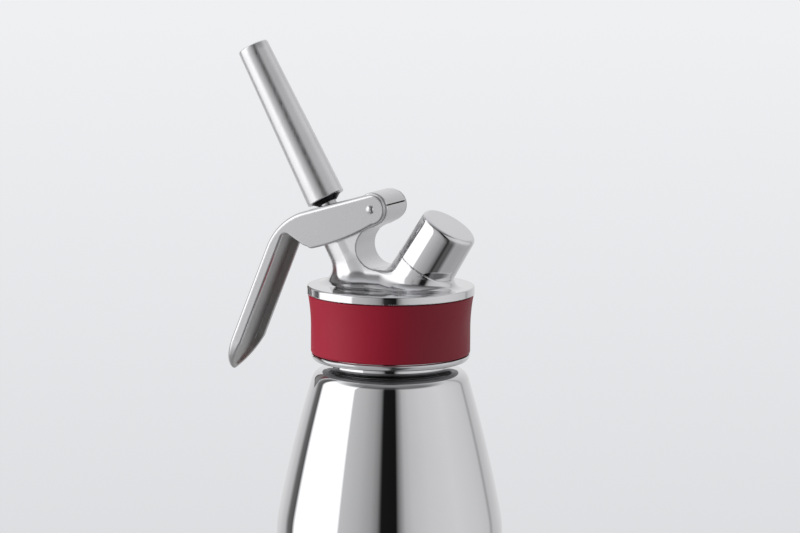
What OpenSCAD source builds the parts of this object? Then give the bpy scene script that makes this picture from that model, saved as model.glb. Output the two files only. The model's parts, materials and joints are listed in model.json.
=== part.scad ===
// Whipped cream dispenser: a steel bottle, a screw-on cast head with a silicone grip band,
// a squeeze lever over a spring-loaded dispensing valve, a straight nozzle, and a charger stud
// under its cap.
// Millimetres. +Z is up and the origin is the centre of the foot. The lever and the nozzle lie
// towards -X, the charger stud and its cap towards +X, and the mechanism is symmetric about Y = 0.

/* [Bottle] */
// Outside diameter of the straight part of the bottle
bottle_d = 95; // [88:0.5:104]
// Height at which the side starts to lean inwards
bottle_straight_top = 84; // [70:1:92]
// Height of the flat shoulder that carries the neck ring
shoulder_z = 155; // [148:1:170]
// Radius of the rounded shoulder
shoulder_r = 6.3; // [4:0.1:8]
// Radius of the bend between the straight wall and the leaning side
side_bend_r = 60; // [30:1:75]
// Radius of the gentle bulge of the leaning side
side_bulge_r = 600; // [400:10:1200]
// Thickness of the bottle wall
bottle_wall = 1.2; // [0.8:0.1:2]
// Radius of the rounded foot
foot_r = 12; // [8:0.5:16]
// Depth of the recess under the bottle
foot_recess = 3; // [1.5:0.1:5]

/* [Neck] */
// Outside diameter of the threaded neck ring
neck_d = 49.5; // [46:0.5:51]
// Thickness of the neck ring's wall
neck_wall = 2.25; // [1.5:0.05:3]
// Height of the neck ring above the shoulder
neck_h = 26; // [22:0.5:30]
// Thickness of the head gasket
gasket_h = 2.5; // [1.5:0.1:3.5]

/* [Head] */
// How far the rim plate stands out over the top of the grip band
rim_overhang = 0.4; // [0:0.1:2]
// Height of the side of the rim plate
rim_h = 3.5; // [2.5:0.1:5]
// Thickness of the head over the mouth
crown_t = 6.5; // [5:0.1:8]
// Thickness of the skirt under the grip band
skirt_t = 4.15; // [3.4:0.05:5]
// Radial room between the neck ring and the skirt, which the threads fill
thread_room = 2.1; // [1.6:0.1:2.6]
// Height of the lip under the grip band
lip_h = 2.5; // [1.5:0.1:4]
// How far the lip under the grip band stands back from it
lip_step = 0.1; // [0:0.05:1]
// Radius of the flare at the foot of the valve post
post_flare_r = 12; // [8:0.5:13]
// Radius of the flare at the foot of the charger boss
boss_flare_r = 8; // [5:0.5:8.5]

/* [Grip band] */
// Thickness of the straight part of the band
band_t = 2.3; // [1.6:0.05:3]
// How far the band flares out under the rim plate
band_flare = 1.3; // [0.5:0.1:1.6]
// Height over which the band flares
band_flare_h = 14; // [8:0.5:18]
// Height of the whole band
band_h = 24.8; // [20:0.1:28]

/* [Dispensing valve] */
// Lean of the valve post and the nozzle
valve_tilt = 29; // [26:0.5:31]
// Distance of the valve axis from the bottle axis, at the top of the rim plate
valve_x = 11.3; // [10.5:0.1:12.5]
// Diameter of the valve post at its top
post_d = 18.5; // [17.5:0.1:19.5]
// Length of the valve post above the rim plate, along its axis
post_h = 23; // [21:0.5:24]
// Diameter of the valve stem
stem_d = 7; // [6.4:0.1:7.4]
// Diameter of the channel in the valve stem
stem_bore_d = 4.4; // [3.5:0.1:4.8]
// Travel of the valve stem when the lever is squeezed
valve_stroke = 4.7; // [3.5:0.1:4.9]
// Diameter of the collar that the lever presses
collar_d = 17.2; // [15:0.1:17.6]
// Thickness of the collar
collar_t = 2.2; // [1.6:0.1:2.6]
// Diameter of the spring wire
spring_wire_d = 0.9; // [0.6:0.05:1.1]
// Curls of the return spring
spring_curls = 7; // [5:1:9]

/* [Nozzle] */
// Length of the nozzle
nozzle_l = 71.6; // [50:0.5:90]
// Diameter of the nozzle at its foot
nozzle_foot_d = 16.4; // [15:0.1:18]
// Diameter of the nozzle at its tip
nozzle_tip_d = 13.2; // [11.5:0.1:15]
// Diameter of the outlet at the tip
outlet_d = 10.4; // [8:0.1:10.8]

/* [Lever] */
// Distance of the pivot from the valve axis
lever_arm = 21.8; // [20.5:0.1:23.5]
// Height of the pivot above the rim plate, along the valve axis
pivot_h = 25.1; // [24:0.1:27]
// Thickness of the arm and the lug that carry the pivot
lug_w = 18.4; // [17:0.1:18.4]
// Radius of the pivot lug
lug_r = 6.9; // [6.4:0.1:7.4]
// Thickness of the lever's cheeks and web
lever_t = 1.95; // [1.5:0.05:2.4]
// Radius of the rounded end of the cheeks
cheek_end_r = 6.45; // [6:0.05:7]
// Slope of the web at rest
web_slope = 16.7; // [14:0.1:18]
// Length of the straight web from the pivot to the bend
web_l = 30.7; // [28:0.1:36]
// Outside radius of the bend
bend_r = 27.5; // [22:0.5:32]
// Turn of the bend
bend_turn = 51; // [44:0.5:58]
// Length of the handle below the bend
handle_l = 58.9; // [45:0.5:70]
// Depth of the handle's channel section
handle_depth = 5.2; // [4.5:0.1:8]
// Diameter of the pivot pin
pin_d = 3.9; // [3.2:0.1:4.4]
// Squeeze of the lever, in degrees
lever_turn = 12; // [8:0.5:12]

/* [Charger stud and cap] */
// Lean of the charger boss
charger_tilt = 32; // [29:0.5:34]
// Distance of the charger axis from the bottle axis, at the top of the rim plate
charger_x = 10.5; // [9.5:0.1:11.5]
// Diameter of the boss and the cap at their seam
cap_d = 25.2; // [24.6:0.1:26]
// Length of the boss above the rim plate, along its axis
boss_h = 11; // [10:0.1:13]
// Length of the cap
cap_l = 20.3; // [18:0.1:24]
// Taper of the boss and the cap, in degrees on each side
cap_taper = 1.3; // [0:0.1:2]
// Thickness of the end of the cap
cap_end_t = 2.5; // [1.8:0.1:3.5]
// Diameter of the threaded stud inside the cap
stud_d = 19.2; // [18:0.1:19.8]
// Diameter of the stud's socket for the charger's neck
socket_d = 10; // [9:0.1:11]

/* [Hidden] */
$fn = 96;

// Clearances
run_fit = 0.05;      // a shaft that turns or slides in its bore
free_fit = 0.3;      // two moving pieces side by side
stretch_fit = 0.05;  // a silicone piece on the metal that it grips
over = 1;            // how far a cutter passes a face

// Levels of the neck and the head
mouth_z = shoulder_z + neck_h;
mouth_r = neck_d / 2 - neck_wall;
ceiling_z = mouth_z + gasket_h;
rim_z = ceiling_z + crown_t;
rim_edge_r = 0.8;
skirt_bore_r = neck_d / 2 + thread_room;
skirt_r = skirt_bore_r + skirt_t;
band_r = skirt_r + band_t;
rim_r = band_r + band_flare + rim_overhang;
lip_r = band_r - lip_step;
band_z = rim_z - rim_h - free_fit - band_h;
lip_z = band_z - free_fit - lip_h;
lip_round = 2.2;

// Centres of the three arcs of the bottle's side
bottle_r = bottle_d / 2;
bend_c = [bottle_r - side_bend_r, bottle_straight_top];
shoulder_c = [neck_d / 2 + 2.1, shoulder_z - shoulder_r];
bulge_c = inner_tangent_centre(bend_c, side_bend_r, shoulder_c, shoulder_r, side_bulge_r);
neck_fillet_r = 2;

// Stations along the valve axis, from the top of the rim plate
seat_t = -13;                       // the edge that the valve disc closes
seat_bore_r = stem_d / 2 + 0.8;
flow_top_t = -1;                    // top of the flow chamber
flow_bore_r = stem_d / 2 + 1.1;
o_ring_wire = 1;
gland_t = flow_top_t + 2.2;         // foot of the gland
gland_h = 4.4;
gland_r = stem_d / 2 + 1.6;
spring_bore_r = gland_r + 0.1;
spring_foot_t = gland_t + gland_h;
press_gap = 0.5;                    // what is left under the collar when the lever is squeezed
collar_foot_t = post_h + press_gap + valve_stroke;
collar_top_t = collar_foot_t + collar_t;
hub_r = spring_bore_r - 0.5;
hub_foot_t = post_h - 1;
spring_r = (hub_r + stem_d / 2) / 2 + 0.2;
disc_r = 6.4;
disc_t = 2.4;
stem_foot_t = seat_t - disc_t - 1.2;
screw_head_t = 1.4;

// The lever's line, from the pivot: the web, then the bend, then the handle
lever_gap = lug_w + 2 * free_fit;
lever_w = lever_gap + 2 * lever_t;
pivot = along_valve(pivot_h, lever_arm);
web_n = [-sin(web_slope), cos(web_slope)];
web_d = [-cos(web_slope), -sin(web_slope)];
web_start = cheek_end_r * web_n;
bend_start = web_start + web_l * web_d;
bend_centre = bend_start - bend_r * web_n;
handle_angle = 90 + web_slope + bend_turn;
handle_n = [cos(handle_angle), sin(handle_angle)];
handle_d = [cos(handle_angle + 90), sin(handle_angle + 90)];
bend_end = bend_centre + bend_r * handle_n;
tip = bend_end + handle_l * handle_d;
tip_arch_r = 17;
cheek_edge_r = 103.5;               // the long curve of the cheeks' lower edge
cheek_edge_c = [-52.5, 82.3];
notch_r = 2.3;                      // round top of the gap between cheek and handle
notch_slope = 30;
notch_run = 9.6;
tip_depth = 2.2;
tip_run = 16;
nose_r = 2.5;                       // cam noses that press the collar
nose_h = collar_top_t - pivot_h + free_fit + nose_r;
slot_r = stem_d / 2 + 1;
lug_clearance = lug_r + 1.2;
pin_dome = 1;
slit_w = 0.6;

web_t = 14;                         // where the web to the arm leaves the post's axis

// The C-shaped gap between the arm and the cap
gap_r = 8.6;
gap_rise = 16;
gap_c = [-valve_x + 8.15, rim_z + gap_rise];

// Stations along the nozzle
web_top_h = (cheek_end_r - lever_arm * -sin(valve_tilt - web_slope)) / cos(valve_tilt - web_slope);
nozzle_foot_t = pivot_h + web_top_h + 2.8;
seal_h = 1.9;
stem_top_t = nozzle_foot_t + 9.5;
nozzle_tip_t = nozzle_foot_t + nozzle_l;
outlet_l = 8;
nozzle_edge_r = 0.8;

// Stations along the charger axis
cap_foot = boss_h;
cap_top = cap_foot + cap_l;
stud_wall_gap = 0.5;
liner_h = 1.2;
liner_top = cap_top - cap_end_t;
stud_top = liner_top - liner_h;
stud_foot = 2;
stud_root_d = stud_d - 4;
cap_edge_r = 1.8;
filter_h = 3;
filter_foot = stud_foot + 0.4;
pin_foot = filter_foot + filter_h;
pin_base_h = 3.6;
pin_base_r = socket_d / 2 - 0.1;
needle_r = 1.2;
needle_h = 7;
seal_ring_h = 1.8;
gas_bore_r = 1.6;
gas_out = [charger_x, ceiling_z];
flap_r = 3.4;
flap_t = 0.9;
cage_r = 5;
cage_h = 4;

// A point beside the valve axis: t along it, q to the right of it, as [x, z]
function along_valve(t, q) = [-valve_x - t * sin(valve_tilt) + q * cos(valve_tilt),
                              rim_z + t * cos(valve_tilt) + q * sin(valve_tilt)];

// Centre of an arc of radius r that touches two smaller arcs from outside, on their left
function inner_tangent_centre(c1, r1, c2, r2, r) =
    let (d = norm(c2 - c1),
         u = (c2 - c1) / d,
         along = (pow(r - r1, 2) - pow(r - r2, 2) + d * d) / (2 * d),
         aside = sqrt(pow(r - r1, 2) - along * along))
    c1 + along * u + aside * [-u[1], u[0]];

module valve_frame() {
    translate([-valve_x, 0, rim_z]) rotate([0, -valve_tilt, 0]) children();
}

module charger_frame() {
    translate([charger_x, 0, rim_z]) rotate([0, charger_tilt, 0]) children();
}

// A profile drawn in X and Z, extruded w wide about Y = 0
module side_extrude(w) {
    rotate([90, 0, 0]) linear_extrude(height = w, center = true) children();
}

module tube(r_out, r_in, h) {
    difference() {
        cylinder(r = r_out, h = h);
        translate([0, 0, -over]) cylinder(r = r_in, h = h + 2 * over);
    }
}

// ---- Bottle ----

// Half section of the bottle, moved in by inset, without the neck
module bottle_section(inset) {
    wall_x = bottle_r - inset;
    low_u = unit(bend_c - bulge_c);
    high_u = unit(shoulder_c - bulge_c);
    polygon([[0, inset], [bottle_r - foot_r, inset], [wall_x, foot_r], [wall_x, bottle_straight_top],
             bulge_c + (side_bulge_r - inset) * low_u, bulge_c + (side_bulge_r - inset) * high_u,
             [shoulder_c[0], shoulder_z - inset], [0, shoulder_z - inset]]);
    translate([bottle_r - foot_r, foot_r]) circle(r = foot_r - inset);
    translate(shoulder_c) circle(r = shoulder_r - inset);
    curved_edge(bend_c, side_bend_r - inset, [1, 0], low_u);
    curved_edge(bulge_c, side_bulge_r - inset, low_u, high_u);
}

// The outer strip of a disc, from the direction u1 to the direction u2
module curved_edge(c, r, u1, u2) {
    strip = 5;
    intersection() {
        translate(c) circle(r = r, $fn = 360);
        polygon([c + (r - strip) * u1, c + (r + strip) * u1,
                 c + (r + strip) * u2, c + (r - strip) * u2]);
    }
}

module square_from(low, high) {
    translate(low) square(high - low);
}

module bottle_shell() {
    recess_r = bottle_r - foot_r - 1;
    color("silver") rotate_extrude() difference() {
        bottle_section(0);
        difference() {
            bottle_section(bottle_wall);
            square_from([-over, -over], [recess_r + bottle_wall, foot_recess + bottle_wall]);
        }
        square_from([-over, -over], [recess_r, foot_recess]);
        square_from([-over, shoulder_z - bottle_wall - over], [mouth_r, shoulder_z + over]);
    }
}

module neck_ring() {
    color("silver") rotate_extrude() difference() {
        union() {
            square_from([mouth_r, shoulder_z], [neck_d / 2, mouth_z]);
            square_from([mouth_r, shoulder_z],
                        [neck_d / 2 + neck_fillet_r, shoulder_z + neck_fillet_r]);
        }
        translate([neck_d / 2 + neck_fillet_r, shoulder_z + neck_fillet_r]) circle(r = neck_fillet_r);
    }
}

module head_gasket() {
    color("firebrick") translate([0, 0, mouth_z])
        tube(skirt_bore_r - free_fit, mouth_r - 0.4, gasket_h);
}

// ---- Head ----

// Concave flare round an upright axis, r wide at its top and flare_r high
module flare(r, flare_r) {
    sink = 0.4;
    rotate_extrude() difference() {
        square_from([0, rim_z - 2], [r + flare_r, rim_z + flare_r - sink - 0.5]);
        translate([r + flare_r, rim_z + flare_r - sink]) circle(r = flare_r);
    }
}

module rim_plate() {
    rotate_extrude() {
        square_from([0, rim_z - rim_h], [rim_r - rim_edge_r, rim_z]);
        square_from([0, rim_z - rim_h], [rim_r, rim_z - rim_edge_r]);
        translate([rim_r - rim_edge_r, rim_z - rim_edge_r]) circle(r = rim_edge_r);
    }
}

module skirt_and_lip() {
    rotate_extrude() {
        square_from([0, lip_z], [skirt_r, rim_z - rim_h + 0.01]);
        square_from([0, lip_z], [lip_r - lip_round, lip_z + lip_h]);
        intersection() {
            translate([lip_r - lip_round, lip_z + lip_round]) circle(r = lip_round);
            square_from([0, lip_z], [lip_r + over, lip_z + lip_h]);
        }
        square_from([0, lip_z + lip_round], [lip_r, lip_z + lip_h]);
    }
}

// The arm that rises behind the post to the pivot lug, and the saddle that joins post and boss
module arm_profile() {
    lug_low = -65;
    difference() {
        union() {
            translate(pivot) circle(r = lug_r);
            polygon([pivot + lug_r * [cos(lug_low), sin(lug_low)], gap_c + gap_r * [cos(135), sin(135)],
                     gap_c, gap_c - [0, gap_r], [charger_x + 4, rim_z + 3.6],
                     [charger_x + 4, rim_z - 2], [-valve_x - 9, rim_z - 2], along_valve(web_t, 0),
                     along_valve(post_h, post_d / 2), along_valve(pivot_h + 3.4, lever_arm - 5.4),
                     pivot]);
        }
        translate(gap_c) circle(r = gap_r);
    }
}

// The concave flank between the arm and the rim plate, on both sides
module saddle_flanks() {
    flank_r = 10;
    sink = 0.4;
    translate([-valve_x, 0, 0]) rotate([90, 0, 90]) linear_extrude(height = valve_x + charger_x)
        difference() {
            square_from([-lug_w / 2 - flank_r, rim_z - 2], [lug_w / 2 + flank_r, rim_z + 7.2]);
            for (side = [-1, 1])
                translate([side * (lug_w / 2 + flank_r), rim_z + flank_r - sink])
                    circle(r = flank_r);
        }
}

module valve_post() {
    valve_frame() translate([0, 0, -8])
        cylinder(r1 = post_d / 2 + 0.35, r2 = post_d / 2, h = post_h + 8);
}

module charger_boss() {
    charger_frame() translate([0, 0, -8])
        cylinder(r1 = cap_d / 2 + (boss_h + 8) * tan(cap_taper), r2 = cap_d / 2, h = boss_h + 8);
}

module head_casting() {
    color("gainsboro") difference() {
        union() {
            difference() {
                union() {
                    rim_plate();
                    skirt_and_lip();
                    difference() {
                        union() {
                            translate([-valve_x, 0, 0]) flare(post_d / 2 + 0.3, post_flare_r);
                            saddle_flanks();
                            side_extrude(lug_w) arm_profile();
                        }
                        translate([gap_c[0], 0, gap_c[1]]) rotate([90, 0, 0])
                            cylinder(r = gap_r, h = 2 * rim_r, center = true);
                    }
                    difference() {
                        translate([charger_x, 0, 0]) flare(cap_d / 2, boss_flare_r);
                        charger_frame() translate([0, 0, boss_h - over]) cylinder(r = rim_r, h = cap_l);
                    }
                    valve_post();
                    charger_boss();
                }
                translate([0, 0, lip_z - over])
                    cylinder(r = skirt_bore_r, h = ceiling_z - lip_z + over);
            }
            valve_frame() translate([0, 0, seat_t]) cylinder(r = flow_bore_r + 3.2, h = 8);
        }
        valve_bores();
        charger_bores();
        pivot_bore();
    }
}

module valve_bores() {
    valve_frame() {
        translate([0, 0, seat_t - over]) cylinder(r = seat_bore_r, h = 6);
        translate([0, 0, seat_t + 3]) cylinder(r = flow_bore_r, h = gland_t - seat_t - 3 + 0.01);
        translate([0, 0, gland_t]) cylinder(r = spring_bore_r, h = post_h - gland_t + over);
    }
}

module charger_bores() {
    charger_frame() {
        translate([0, 0, stud_foot]) cylinder(r = stud_root_d / 2 + run_fit, h = boss_h);
        cylinder(r = gas_bore_r, h = stud_foot + over);
    }
    translate([charger_x, 0, ceiling_z - over]) cylinder(r = gas_bore_r, h = crown_t + 2.5 * over);
}

module pivot_bore() {
    translate([pivot[0], 0, pivot[1]]) {
        rotate([90, 0, 0]) cylinder(r = pin_d / 2 + run_fit, h = lug_w + 2 * over, center = true);
        rotate([0, -web_slope, 0]) translate([lug_r, 0, 0])
            cube([2 * lug_r, lug_w + 2 * over, slit_w], center = true);
    }
}

module grip_band() {
    flare_c = [band_r + curve_r(), band_z + band_h - band_flare_h];
    corner = 1.2;
    color("crimson") rotate_extrude() difference() {
        square_from([skirt_r + stretch_fit, band_z], [band_r + band_flare, band_z + band_h]);
        translate(flare_c) circle(r = curve_r(), $fn = 180);
        square_from([band_r, band_z - over], [band_r + over, flare_c[1]]);
        difference() {
            square_from([band_r - corner, band_z - over], [band_r + over, band_z + corner]);
            translate([band_r - corner, band_z + corner]) circle(r = corner);
        }
    }
}

// Radius of the band's flare, from its height and how far it comes out
function curve_r() = (pow(band_flare_h, 2) + pow(band_flare, 2)) / (2 * band_flare);

// ---- Charger side ----

module charger_stud() {
    color("silver") charger_frame() difference() {
        union() {
            translate([0, 0, stud_foot]) cylinder(r = stud_root_d / 2, h = boss_h - stud_foot + over);
            translate([0, 0, boss_h]) cylinder(r = stud_d / 2, h = stud_top - boss_h);
        }
        translate([0, 0, stud_foot + 0.4]) cylinder(r = socket_d / 2, h = cap_top);
        translate([0, 0, stud_foot - over]) cylinder(r = gas_bore_r, h = 3 * over);
    }
}

module gas_filter() {
    color("darkgray") charger_frame() translate([0, 0, filter_foot])
        cylinder(r = pin_base_r - 0.4, h = filter_h);
}

module piercing_pin() {
    color("silver") charger_frame() translate([0, 0, pin_foot]) difference() {
        union() {
            cylinder(r = pin_base_r, h = pin_base_h);
            cylinder(r = needle_r, h = pin_base_h + needle_h - 2);
            translate([0, 0, pin_base_h + needle_h - 2]) cylinder(r1 = needle_r, r2 = 0.5, h = 2);
        }
        translate([0, 0, -over]) cylinder(r = 0.4, h = pin_base_h + needle_h + 2 * over);
    }
}

module piercer_seal() {
    color("dimgray") charger_frame() translate([0, 0, pin_foot + pin_base_h])
        tube(pin_base_r, needle_r + 0.1, seal_ring_h);
}

// A rubber umbrella valve whose button sits in the gas bore's mouth
module check_flap() {
    color("dimgray") translate([gas_out[0], 0, gas_out[1] - flap_t]) cylinder(r = flap_r, h = flap_t);
}

module check_cage() {
    wall = 0.9;
    color("silver") translate([gas_out[0], 0, gas_out[1] - cage_h]) difference() {
        cylinder(r = cage_r, h = cage_h);
        translate([0, 0, wall]) cylinder(r = cage_r - wall, h = cage_h);
        for (turn = [0:60:300])
            rotate(turn) translate([2.4, 0, -over]) cylinder(r = 0.7, h = 3 * over, $fn = 24);
    }
}

module cap_liner() {
    color("dimgray") charger_frame() translate([0, 0, stud_top])
        cylinder(r = stud_d / 2 - 0.2, h = liner_h);
}

module cap() {
    top_r = cap_d / 2 - cap_l * tan(cap_taper);
    color("gainsboro") charger_frame() difference() {
        rotate_extrude() difference() {
            polygon([[0, cap_foot], [cap_d / 2, cap_foot], [top_r, cap_top], [0, cap_top]]);
            difference() {
                square_from([top_r - cap_edge_r, cap_top - cap_edge_r], [cap_d, cap_top + over]);
                translate([top_r - cap_edge_r, cap_top - cap_edge_r]) circle(r = cap_edge_r);
            }
        }
        translate([0, 0, cap_foot - over])
            cylinder(r = stud_d / 2 + stud_wall_gap, h = liner_top - cap_foot + over);
    }
}

// ---- Valve ----

module valve_gland() {
    color("goldenrod") valve_frame() translate([0, 0, gland_t])
        tube(gland_r, stem_d / 2 + run_fit, gland_h);
}

module stem_o_ring() {
    color("dimgray") valve_frame() translate([0, 0, gland_t - o_ring_wire / 2]) rotate_extrude()
        translate([stem_d / 2 + run_fit + o_ring_wire / 2 - 0.05, 0]) intersection() {
            circle(d = o_ring_wire, $fn = 32);
            square_from([-o_ring_wire / 2 + 0.05, -o_ring_wire], [flow_bore_r, o_ring_wire]);
        }
}

module valve_stem() {
    color("silver") valve_frame() difference() {
        union() {
            translate([0, 0, stem_foot_t + 1.2]) cylinder(r = stem_d / 2 - 1, h = disc_t);
            translate([0, 0, seat_t]) cylinder(r = stem_d / 2, h = stem_top_t - seat_t);
        }
        translate([0, 0, seat_t + 3]) cylinder(r = stem_bore_d / 2, h = stem_top_t);
        for (turn = [0, 90]) rotate(turn) translate([0, 0, seat_t + 5]) rotate([90, 0, 0])
            cylinder(r = 1.2, h = stem_d + 2 * over, center = true);
    }
}

module press_collar() {
    color("silver") valve_frame() difference() {
        union() {
            translate([0, 0, hub_foot_t]) cylinder(r = hub_r, h = collar_foot_t - hub_foot_t + 0.01);
            translate([0, 0, collar_foot_t]) cylinder(r = collar_d / 2, h = collar_t);
        }
        translate([0, 0, hub_foot_t - over])
            cylinder(r = stem_d / 2, h = collar_top_t - hub_foot_t + 2 * over);
    }
}

module valve_disc() {
    color("dimgray") valve_frame() translate([0, 0, seat_t - disc_t])
        tube(disc_r, stem_d / 2 - 1, disc_t);
}

module disc_screw() {
    color("silver") valve_frame() translate([0, 0, seat_t - disc_t - screw_head_t])
        cylinder(r = stem_d / 2 + 0.8, h = screw_head_t);
}

// ---- Return spring ----

// Points along the coil: a straight tangent run at each end, closed end curls, open curls between
spring_l = hub_foot_t - spring_foot_t - spring_wire_d - 0.1;
spring_rings = 8 * spring_curls;
spring_path = [for (i = [0:spring_rings])
    let (turn = 360 * spring_curls * i / spring_rings, f = i / spring_rings)
    [spring_r * cos(turn), spring_r * sin(turn), spring_l * f]];
spring_ends = [spring_path[0] - [0, spring_wire_d, 0],
               spring_path[spring_rings] + [0, spring_wire_d, 0]];
spring_points = concat([spring_ends[0]], spring_path, [spring_ends[1]]);
spring_self_gap = min([for (i = [0:spring_rings - 8])
    norm(spring_path[i + 8] - spring_path[i])]) - spring_wire_d;
echo(spring_self_gap = spring_self_gap);

function unit(v) = v / norm(v);

// A six-sided tube along points that wind round Z
module wound_tube(points, wire_d) {
    sides = 6;
    last = len(points) - 1;
    rings = [for (i = [0:last])
        let (ahead = unit(points[min(i + 1, last)] - points[max(i - 1, 0)]),
             side = unit(cross([0, 0, 1], ahead)),
             up = cross(ahead, side))
        for (k = [0:sides - 1])
            points[i] + wire_d / 2 * (cos(360 * k / sides) * side + sin(360 * k / sides) * up)];
    skin = [for (i = [0:last - 1], k = [0:sides - 1], half = [0, 1])
        let (a = i * sides + k, b = i * sides + (k + 1) % sides)
        half == 0 ? [a, a + sides, b + sides] : [a, b + sides, b]];
    ends = concat([for (k = [1:sides - 2]) [0, k, k + 1]],
                  [for (k = [1:sides - 2]) [last * sides, last * sides + k + 1, last * sides + k]]);
    polyhedron(points = rings, faces = concat(skin, ends));
}

module valve_spring() {
    color("lightgray") valve_frame()
        translate([0, 0, spring_foot_t + spring_wire_d / 2 + 0.05])
            wound_tube(spring_points, spring_wire_d);
}

// ---- Lever ----

// Everything on the inner side of the lever's outer skin, moved in by inset
module inside_of_skin(inset) {
    reach = 90;
    polygon([web_start - inset * web_n - reach * web_d, bend_start - inset * web_n, bend_centre,
             bend_end - inset * handle_n, tip - inset * handle_n + reach * handle_d,
             [reach, -reach]]);
    translate(bend_centre) circle(r = bend_r - inset);
}

// The outline of the cheeks: round at the pivot, a long curved lower edge, the handle's strip
module cheek_outline() {
    reach = 120;
    edge_start = cheek_end_r * [cos(-48), sin(-48)];
    difference() {
        union() {
            circle(r = cheek_end_r);
            intersection() {
                translate(cheek_edge_c) circle(r = cheek_edge_r, $fn = 180);
                polygon([[0, 0], web_start, [web_start[0], reach], [-reach, reach],
                         [-reach, -reach], [edge_start[0], -reach], edge_start]);
            }
            polygon([notch_top() + [0, 2 * notch_r], [-reach, 0], [-reach, -reach],
                     notch_top() - [0, reach]]);
        }
        notch();
    }
}

// Centre of the round top of the gap between the cheek's corner and the handle
function notch_top() = bend_end - (handle_depth + notch_r) * handle_n + handle_top() * handle_d;
function handle_top() = -7;

module notch() {
    reach = 120;
    top = notch_top();
    handle_side = top + notch_r * handle_n;
    taper_start = tip - handle_depth * handle_n - tip_run * handle_d;
    cheek_side = top + notch_r * [sin(notch_slope), cos(notch_slope)];
    corner = cheek_side + notch_run * [cos(notch_slope), -sin(notch_slope)];
    translate(top) circle(r = notch_r);
    polygon([top, handle_side, taper_start, tip - tip_depth * handle_n, tip + reach * handle_d,
             [corner[0], -reach], corner, cheek_side]);
}

// Plan of the handle's pointed tip, moved in by inset: two arcs that meet on the centre line
module tip_plan(inset) {
    half = lever_w / 2;
    arch_l = sqrt(pow(tip_arch_r, 2) - pow(tip_arch_r - half, 2));
    reach = 200;
    translate([tip[0], 0, tip[1]]) rotate([0, -(handle_angle - 90), 0])
        translate([0, 0, -reach / 2]) linear_extrude(height = reach) {
            square_from([arch_l, -half + inset], [reach, half - inset]);
            intersection() {
                translate([arch_l, tip_arch_r - half]) circle(r = tip_arch_r - inset);
                translate([arch_l, half - tip_arch_r]) circle(r = tip_arch_r - inset);
            }
        }
}

// Centre of the cam noses, from the pivot
nose_c = along_valve(nose_h, -lever_arm) - along_valve(0, 0);
slot_c = along_valve(web_top_h, -lever_arm) - along_valve(0, 0);

module lever() {
    color("silver") translate([pivot[0], 0, pivot[1]]) difference() {
        union() {
            difference() {
                intersection() {
                    side_extrude(lever_w) intersection() {
                        inside_of_skin(0);
                        cheek_outline();
                    }
                    tip_plan(0);
                }
                intersection() {
                    side_extrude(lever_gap) inside_of_skin(lever_t);
                    tip_plan(lever_t);
                }
            }
            for (side = [-1, 1])
                translate([nose_c[0], side * (slot_r + lever_gap / 2 + 0.3) / 2, nose_c[1]])
                    rotate([90, 0, 0])
                        cylinder(r = nose_r, h = lever_gap / 2 - slot_r + 0.2, center = true);
        }
        rotate([90, 0, 0]) cylinder(r = lug_clearance, h = lever_gap, center = true);
        rotate([90, 0, 0]) cylinder(r = pin_d / 2, h = lever_w + 2 * over, center = true);
        fork_slot();
    }
}

// The open slot that the stem passes through, wide enough for its whole travel
module fork_slot() {
    translate([slot_c[0], 0, slot_c[1]]) rotate([0, -web_slope, 0]) {
        translate([-0.6, 0, -4 * lever_t]) cylinder(r = slot_r, h = 8 * lever_t);
        translate([-0.6, -slot_r, -4 * lever_t]) cube([lever_arm, 2 * slot_r, 8 * lever_t]);
    }
}

module pivot_pin() {
    dome_r = (pow(pin_d / 2, 2) + pow(pin_dome, 2)) / (2 * pin_dome);
    color("silver") translate([pivot[0], 0, pivot[1]]) rotate([90, 0, 0]) {
        cylinder(r = pin_d / 2, h = lever_w, center = true);
        for (side = [-1, 1]) intersection() {
            translate([0, 0, side * (lever_w / 2 + pin_dome - dome_r)]) sphere(r = dome_r);
            translate([0, 0, side * (lever_w / 2 + pin_dome / 2 - 0.1)])
                cylinder(r = pin_d / 2, h = pin_dome + 0.2, center = true);
        }
    }
}

// ---- Nozzle ----

module nozzle_seal() {
    color("black") valve_frame() translate([0, 0, nozzle_foot_t - seal_h]) difference() {
        cylinder(r1 = stem_d / 2 + 0.6, r2 = nozzle_foot_d / 2 - 1.6, h = seal_h);
        translate([0, 0, -over]) cylinder(r = stem_d / 2 + run_fit, h = seal_h + 2 * over);
    }
}

module nozzle() {
    foot_r = nozzle_foot_d / 2;
    tip_r = nozzle_tip_d / 2;
    color("lightgray") valve_frame() translate([0, 0, nozzle_foot_t]) difference() {
        rotate_extrude() difference() {
            polygon([[0, 0], [foot_r, 0], [tip_r, nozzle_l], [0, nozzle_l]]);
            difference() {
                square_from([tip_r - nozzle_edge_r, nozzle_l - nozzle_edge_r],
                            [foot_r, nozzle_l + over]);
                translate([tip_r - nozzle_edge_r, nozzle_l - nozzle_edge_r])
                    circle(r = nozzle_edge_r);
            }
        }
        translate([0, 0, -over])
            cylinder(r = stem_d / 2 + free_fit, h = stem_top_t - nozzle_foot_t + over + free_fit);
        translate([0, 0, stem_top_t - nozzle_foot_t])
            cylinder(r1 = stem_bore_d / 2, r2 = outlet_d / 2,
                     h = nozzle_l - outlet_l - stem_top_t + nozzle_foot_t + 0.01);
        translate([0, 0, nozzle_l - outlet_l]) cylinder(r = outlet_d / 2, h = outlet_l + over);
    }
}

bottle_shell();
neck_ring();
head_gasket();
head_casting();
grip_band();
charger_stud();
gas_filter();
piercing_pin();
piercer_seal();
check_flap();
check_cage();
valve_gland();
stem_o_ring();
valve_spring();
valve_stem();
press_collar();
valve_disc();
disc_screw();
lever();
pivot_pin();
nozzle_seal();
nozzle();
cap_liner();
cap();
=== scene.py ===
import json
import math

import bpy
import numpy as np
from mathutils import Matrix, Vector

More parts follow.
